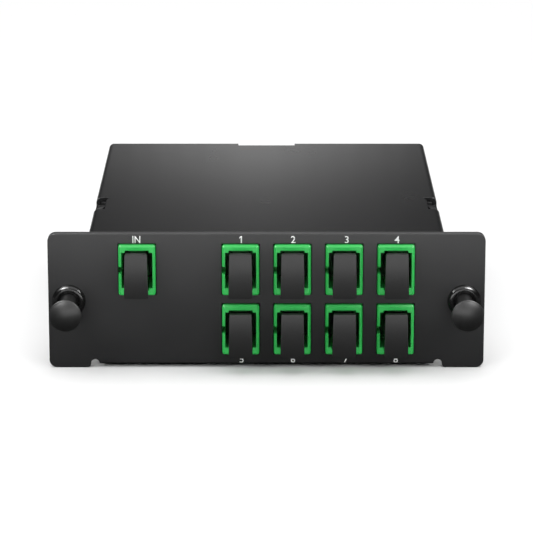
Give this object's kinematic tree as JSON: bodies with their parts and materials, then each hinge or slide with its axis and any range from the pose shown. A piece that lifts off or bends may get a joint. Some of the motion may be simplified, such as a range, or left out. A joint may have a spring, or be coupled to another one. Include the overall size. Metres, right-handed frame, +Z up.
{
  "type": "plc fibre splitter cassette",
  "caption": "Black rack-bay cassette that splits an input fibre to two rows of green angled-polish ports with dust plugs and push-pull latches.",
  "frame": {"origin": "midway between the two latches, on the rear face of the front plate", "axes": "+X to the right seen from the front, +Y back into the rack, +Z up"},
  "size_m": [0.109, 0.1253, 0.0346],
  "materials": {
    "chassis_paint": "fine matt black powder coat",
    "cover_paint": "fine matt black powder coat",
    "screw_steel": "blackened",
    "green_plastic": "satin",
    "insert_plastic": "matt",
    "plug_plastic": "satin",
    "connector_plastic": "satin",
    "zirconia": "polished",
    "boot_rubber": "matt",
    "spring_steel": "bright",
    "latch_plastic": "glossy",
    "module_steel": "satin",
    "module_rubber": "matt",
    "cradle_plastic": "matt",
    "fibre_white": "satin",
    "fibre_yellow": "satin"
  },
  "bodies": {
    "cassette": {"chassis": "chassis_paint", "top_cover": "cover_paint", "cover_screws": "screw_steel", "adapter_body_in": "green_plastic", "adapter_insert_in": "insert_plastic", "pigtail_plug_in": "connector_plastic", "adapter_body_1": "green_plastic", "adapter_insert_1": "insert_plastic", "pigtail_plug_1": "connector_plastic", "adapter_body_2": "green_plastic", "adapter_insert_2": "insert_plastic", "pigtail_plug_2": "connector_plastic", "adapter_body_3": "green_plastic", "adapter_insert_3": "insert_plastic", "pigtail_plug_3": "connector_plastic", "adapter_body_4": "green_plastic", "adapter_insert_4": "insert_plastic", "pigtail_plug_4": "connector_plastic", "adapter_body_5": "green_plastic", "adapter_insert_5": "insert_plastic", "pigtail_plug_5": "connector_plastic", "adapter_body_6": "green_plastic", "adapter_insert_6": "insert_plastic", "pigtail_plug_6": "connector_plastic", "adapter_body_7": "green_plastic", "adapter_insert_7": "insert_plastic", "pigtail_plug_7": "connector_plastic", "adapter_body_8": "green_plastic", "adapter_insert_8": "insert_plastic", "pigtail_plug_8": "connector_plastic", "alignment_sleeves": "zirconia", "pigtail_ferrules": "zirconia", "pigtail_boots": "boot_rubber", "adapter_clips": "spring_steel", "latch_grommet_left": "latch_plastic", "latch_grommet_right": "latch_plastic", "splitter_module": "module_steel", "module_end_boots": "module_rubber", "module_cradle": "cradle_plastic", "input_fibre": "fibre_white", "output_fibres": "fibre_yellow"},
    "dust_plug_in": {"dust_plug_in": "plug_plastic"},
    "dust_plug_1": {"dust_plug_1": "plug_plastic"},
    "dust_plug_2": {"dust_plug_2": "plug_plastic"},
    "dust_plug_3": {"dust_plug_3": "plug_plastic"},
    "dust_plug_4": {"dust_plug_4": "plug_plastic"},
    "dust_plug_5": {"dust_plug_5": "plug_plastic"},
    "dust_plug_6": {"dust_plug_6": "plug_plastic"},
    "dust_plug_7": {"dust_plug_7": "plug_plastic"},
    "dust_plug_8": {"dust_plug_8": "plug_plastic"},
    "latch_plunger_left": {"latch_plunger_left": "latch_plastic"},
    "latch_plunger_right": {"latch_plunger_right": "latch_plastic"}
  },
  "joints": [
    {"name": "dust_plug_in_slide", "type": "slide", "parent": "cassette", "child": "dust_plug_in", "axis": [0, -1, 0], "range_m": [0, 0.0105]},
    {"name": "dust_plug_1_slide", "type": "slide", "parent": "cassette", "child": "dust_plug_1", "axis": [0, -1, 0], "range_m": [0, 0.0105]},
    {"name": "dust_plug_2_slide", "type": "slide", "parent": "cassette", "child": "dust_plug_2", "axis": [0, -1, 0], "range_m": [0, 0.0105]},
    {"name": "dust_plug_3_slide", "type": "slide", "parent": "cassette", "child": "dust_plug_3", "axis": [0, -1, 0], "range_m": [0, 0.0105]},
    {"name": "dust_plug_4_slide", "type": "slide", "parent": "cassette", "child": "dust_plug_4", "axis": [0, -1, 0], "range_m": [0, 0.0105]},
    {"name": "dust_plug_5_slide", "type": "slide", "parent": "cassette", "child": "dust_plug_5", "axis": [0, -1, 0], "range_m": [0, 0.0105]},
    {"name": "dust_plug_6_slide", "type": "slide", "parent": "cassette", "child": "dust_plug_6", "axis": [0, -1, 0], "range_m": [0, 0.0105]},
    {"name": "dust_plug_7_slide", "type": "slide", "parent": "cassette", "child": "dust_plug_7", "axis": [0, -1, 0], "range_m": [0, 0.0105]},
    {"name": "dust_plug_8_slide", "type": "slide", "parent": "cassette", "child": "dust_plug_8", "axis": [0, -1, 0], "range_m": [0, 0.0105]},
    {"name": "latch_plunger_left_slide", "type": "slide", "parent": "cassette", "child": "latch_plunger_left", "axis": [0, 1, 0], "range_m": [0, 0.0095]},
    {"name": "latch_plunger_right_slide", "type": "slide", "parent": "cassette", "child": "latch_plunger_right", "axis": [0, 1, 0], "range_m": [0, 0.0095]}
  ]
}
